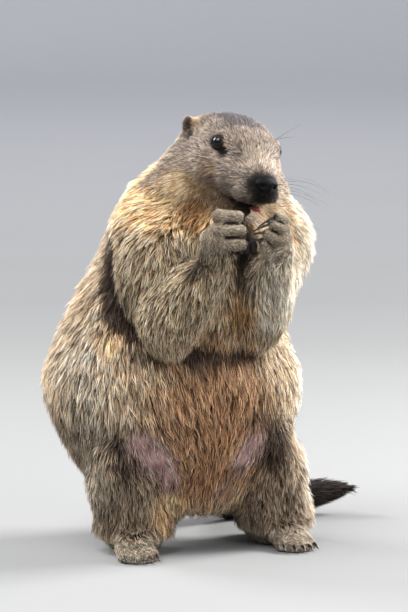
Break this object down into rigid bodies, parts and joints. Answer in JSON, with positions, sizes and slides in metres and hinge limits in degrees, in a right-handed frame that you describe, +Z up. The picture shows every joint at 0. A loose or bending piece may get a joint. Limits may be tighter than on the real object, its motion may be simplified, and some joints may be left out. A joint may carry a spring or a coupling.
{
  "type": "alpine marmot",
  "caption": "Life-size alpine marmot standing upright on its hind feet, chubby and thick-furred, head turned a little, forepaws held to its mouth, dark tail laid to one side.",
  "frame": {"origin": "on the floor, below the middle of the whole model's bounding box", "axes": "+Z up, -Y the way the belly faces, +X the animal's own left, where the tail points"},
  "size_m": [0.3732, 0.3044, 0.4491],
  "materials": {
    "coat_grizzled": "short grizzled fur",
    "coat_ear": "short fur",
    "coat_ochre": "dense ochre fur",
    "coat_back": "long shaggy fur",
    "coat_arm": "long cream and ochre fur",
    "coat_forearm": "long cream-tipped fur",
    "coat_forepaw": "short greyish fur",
    "coat_thigh": "dense brown fur",
    "coat_shank": "dense dark fur",
    "coat_hind_foot": "short greyish fur",
    "coat_tail": "blackish brushy fur",
    "nose_leather": "bare damp skin",
    "claw_horn": "dark polished horn",
    "eye_glass": "dark glossy eye"
  },
  "bodies": {
    "root": {"head": "coat_grizzled", "neck": "coat_ochre", "trunk": "coat_back", "nose": "nose_leather", "tail_base": "coat_tail", "tail_tip": "coat_tail", "ear_right": "coat_ear", "eye_right": "eye_glass", "upper_arm_right": "coat_arm", "forearm_right": "coat_forearm", "forepaw_right": "coat_forepaw", "thigh_right": "coat_thigh", "shank_right": "coat_shank", "hind_foot_right": "coat_hind_foot", "claw_fore_right_1": "claw_horn", "claw_fore_right_2": "claw_horn", "claw_fore_right_3": "claw_horn", "claw_fore_right_4": "claw_horn", "claw_hind_right_1": "claw_horn", "claw_hind_right_2": "claw_horn", "claw_hind_right_3": "claw_horn", "claw_hind_right_4": "claw_horn", "claw_hind_right_5": "claw_horn", "ear_left": "coat_ear", "eye_left": "eye_glass", "upper_arm_left": "coat_arm", "forearm_left": "coat_forearm", "forepaw_left": "coat_forepaw", "thigh_left": "coat_thigh", "shank_left": "coat_shank", "hind_foot_left": "coat_hind_foot", "claw_fore_left_1": "claw_horn", "claw_fore_left_2": "claw_horn", "claw_fore_left_3": "claw_horn", "claw_fore_left_4": "claw_horn", "claw_hind_left_1": "claw_horn", "claw_hind_left_2": "claw_horn", "claw_hind_left_3": "claw_horn", "claw_hind_left_4": "claw_horn", "claw_hind_left_5": "claw_horn"}
  },
  "joints": []
}
